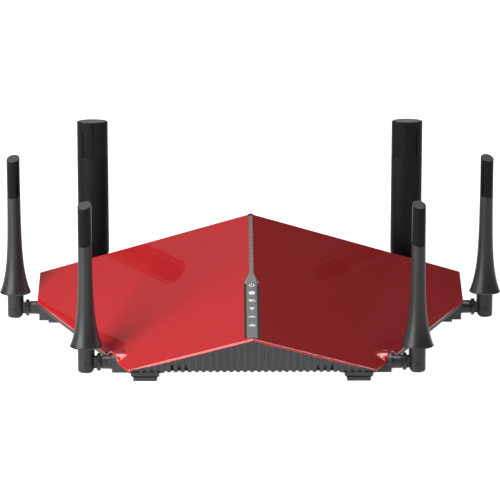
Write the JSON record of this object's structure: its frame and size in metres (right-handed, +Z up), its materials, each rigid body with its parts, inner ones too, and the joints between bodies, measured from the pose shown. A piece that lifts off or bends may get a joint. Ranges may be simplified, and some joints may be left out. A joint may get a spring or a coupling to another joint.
{
  "type": "wireless router",
  "caption": "Wedge-shaped wireless router with a glossy ridged roof, slim hinged antennas at the sides, wide paddle antennas at the back and network sockets in the rear wall.",
  "frame": {"origin": "centre of the footprint, on the surface the feet stand on", "axes": "+X to the right seen from the front, +Y towards the socket wall at the back, +Z up"},
  "size_m": [0.4576, 0.2788, 0.1803],
  "materials": {
    "roof_red": "high gloss, moulded",
    "case_black": "fine matt texture",
    "trim_grey": "satin",
    "bezel_black": "gloss",
    "window_grey": "satin, smoked",
    "lens_white": "frosted",
    "clear_plastic": "clear",
    "board_green": "solder resist",
    "heat_sink_metal": "extruded",
    "shield_steel": "tinned",
    "jack_black": "moulded",
    "tongue_blue": "moulded",
    "socket_black": "satin",
    "rubber_black": "matt",
    "screw_steel": "zinc plated",
    "button_grey": "satin",
    "antenna_matte": "satin",
    "antenna_gloss": "high gloss",
    "element_brass": "plain"
  },
  "bodies": {
    "root": {"top_cover": "roof_red", "bottom_case": "case_black", "front_grille": "case_black", "rear_cover": "case_black", "port_panel": "case_black", "ridge_trim": "trim_grey", "ridge_cap": "bezel_black", "indicator_bezel": "bezel_black", "indicator_window": "window_grey", "indicator_icons": "lens_white", "light_guide": "clear_plastic", "indicator_board": "board_green", "main_board": "board_green", "heat_sink": "heat_sink_metal", "radio_shields": "shield_steel", "network_jacks": "jack_black", "usb_sockets": "shield_steel", "usb_tongues": "tongue_blue", "dc_jack": "jack_black", "switch_bodies": "jack_black", "antenna_sockets": "socket_black", "swivel_washers": "rubber_black", "antenna_leads": "rubber_black", "feet": "rubber_black", "case_screws": "screw_steel", "board_screws": "screw_steel"},
    "front_left_swivel": {"front_left_knuckle": "socket_black"},
    "front_left_antenna": {"front_left_radome": "antenna_matte", "front_left_tip": "antenna_gloss", "front_left_element": "element_brass", "front_left_hinge_pin": "screw_steel"},
    "front_right_swivel": {"front_right_knuckle": "socket_black"},
    "front_right_antenna": {"front_right_radome": "antenna_matte", "front_right_tip": "antenna_gloss", "front_right_element": "element_brass", "front_right_hinge_pin": "screw_steel"},
    "side_left_swivel": {"side_left_knuckle": "socket_black"},
    "side_left_antenna": {"side_left_radome": "antenna_matte", "side_left_tip": "antenna_gloss", "side_left_element": "element_brass", "side_left_hinge_pin": "screw_steel"},
    "side_right_swivel": {"side_right_knuckle": "socket_black"},
    "side_right_antenna": {"side_right_radome": "antenna_matte", "side_right_tip": "antenna_gloss", "side_right_element": "element_brass", "side_right_hinge_pin": "screw_steel"},
    "back_left_swivel": {"back_left_knuckle": "socket_black"},
    "back_left_antenna": {"back_left_radome": "antenna_matte", "back_left_tip": "antenna_gloss", "back_left_element": "element_brass", "back_left_hinge_pin": "screw_steel"},
    "back_right_swivel": {"back_right_knuckle": "socket_black"},
    "back_right_antenna": {"back_right_radome": "antenna_matte", "back_right_tip": "antenna_gloss", "back_right_element": "element_brass", "back_right_hinge_pin": "screw_steel"},
    "power_button": {"power_button": "button_grey"},
    "wps_button": {"wps_button": "button_grey"},
    "reset_button": {"reset_button": "button_grey"}
  },
  "joints": [
    {"name": "front_left_turn", "type": "hinge", "parent": "root", "child": "front_left_swivel", "pos_m": [-0.1435, -0.07493, 0.0099], "axis": [1, 0, 0], "range_deg": [-50, 60]},
    {"name": "front_left_fold", "type": "hinge", "parent": "front_left_swivel", "child": "front_left_antenna", "pos_m": [-0.1435, -0.07493, 0.0099], "axis": [0, -1, 0], "range_deg": [0, 70]},
    {"name": "front_right_turn", "type": "hinge", "parent": "root", "child": "front_right_swivel", "pos_m": [0.1435, -0.07493, 0.0099], "axis": [1, 0, 0], "range_deg": [-50, 60]},
    {"name": "front_right_fold", "type": "hinge", "parent": "front_right_swivel", "child": "front_right_antenna", "pos_m": [0.1435, -0.07493, 0.0099], "axis": [0, 1, 0], "range_deg": [0, 70]},
    {"name": "side_left_turn", "type": "hinge", "parent": "root", "child": "side_left_swivel", "pos_m": [-0.2146, 0.08088, 0.0166], "axis": [1, 0, 0], "range_deg": [-90, 90]},
    {"name": "side_left_fold", "type": "hinge", "parent": "side_left_swivel", "child": "side_left_antenna", "pos_m": [-0.2146, 0.08088, 0.0166], "axis": [0, -1, 0], "range_deg": [0, 90]},
    {"name": "side_right_turn", "type": "hinge", "parent": "root", "child": "side_right_swivel", "pos_m": [0.2146, 0.08088, 0.0166], "axis": [1, 0, 0], "range_deg": [-90, 90]},
    {"name": "side_right_fold", "type": "hinge", "parent": "side_right_swivel", "child": "side_right_antenna", "pos_m": [0.2146, 0.08088, 0.0166], "axis": [0, 1, 0], "range_deg": [0, 90]},
    {"name": "back_left_turn", "type": "hinge", "parent": "root", "child": "back_left_swivel", "pos_m": [-0.1446, 0.13018, 0.026], "axis": [0, -1, 0], "range_deg": [-50, 90]},
    {"name": "back_left_fold", "type": "hinge", "parent": "back_left_swivel", "child": "back_left_antenna", "pos_m": [-0.1446, 0.13018, 0.026], "axis": [-1, 0, 0], "range_deg": [0, 90]},
    {"name": "back_right_turn", "type": "hinge", "parent": "root", "child": "back_right_swivel", "pos_m": [0.1446, 0.13018, 0.026], "axis": [0, 1, 0], "range_deg": [-50, 90]},
    {"name": "back_right_fold", "type": "hinge", "parent": "back_right_swivel", "child": "back_right_antenna", "pos_m": [0.1446, 0.13018, 0.026], "axis": [-1, 0, 0], "range_deg": [0, 90]},
    {"name": "power_press", "type": "slide", "parent": "root", "child": "power_button", "axis": [0, -1, 0], "range_m": [0, 0.0025], "stiffness_N_per_m": 400},
    {"name": "wps_press", "type": "slide", "parent": "root", "child": "wps_button", "axis": [0, -1, 0], "range_m": [0, 0.0008], "stiffness_N_per_m": 900},
    {"name": "reset_press", "type": "slide", "parent": "root", "child": "reset_button", "axis": [0, -1, 0], "range_m": [0, 0.0008], "stiffness_N_per_m": 900}
  ]
}
